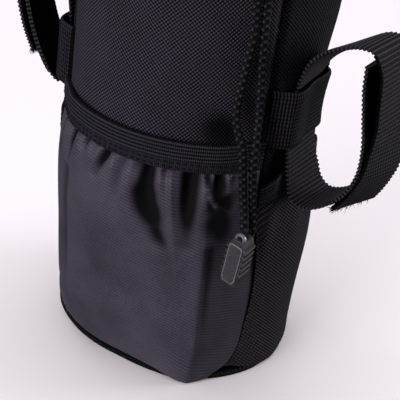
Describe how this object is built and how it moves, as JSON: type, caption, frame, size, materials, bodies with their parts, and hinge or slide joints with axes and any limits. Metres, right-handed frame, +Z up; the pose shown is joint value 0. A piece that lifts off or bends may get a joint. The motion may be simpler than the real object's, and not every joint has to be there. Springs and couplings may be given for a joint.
{
  "type": "handlebar bottle pouch",
  "caption": "Soft padded cylindrical bottle pouch with a gathered front pocket, mesh side pockets, a drawstring rim and hook-and-loop strap rings for a handlebar.",
  "frame": {"origin": "on the floor under the pouch's upper body, on the flat bottom of the base", "axes": "+Z up along the body, -Y towards the front pocket, +X to the viewer's right with the cord end"},
  "size_m": [0.1788, 0.1145, 0.19],
  "materials": {
    "weave": "coarse dotted polyester weave, padded",
    "nylon": "thin coated nylon with a soft sheen",
    "mesh": "fine mesh",
    "elastic": "ribbed elastic",
    "webbing": "ribbed hook-and-loop webbing",
    "cord": "braided cord",
    "plastic": "cloudy grey plastic"
  },
  "bodies": {
    "root": {"base_panel": "weave", "front_panel": "weave", "back_panel": "weave", "top_rim": "weave", "front_pocket": "nylon", "front_elastic": "elastic", "side_pocket_right": "mesh", "side_pocket_left": "mesh", "side_elastic_right": "elastic", "side_elastic_left": "elastic", "keeper_right": "webbing", "keeper_left": "webbing", "strap_right": "webbing", "strap_left": "webbing", "cord_strand_left": "cord", "cord_strand_right": "cord", "cord_pull": "plastic"}
  },
  "joints": []
}
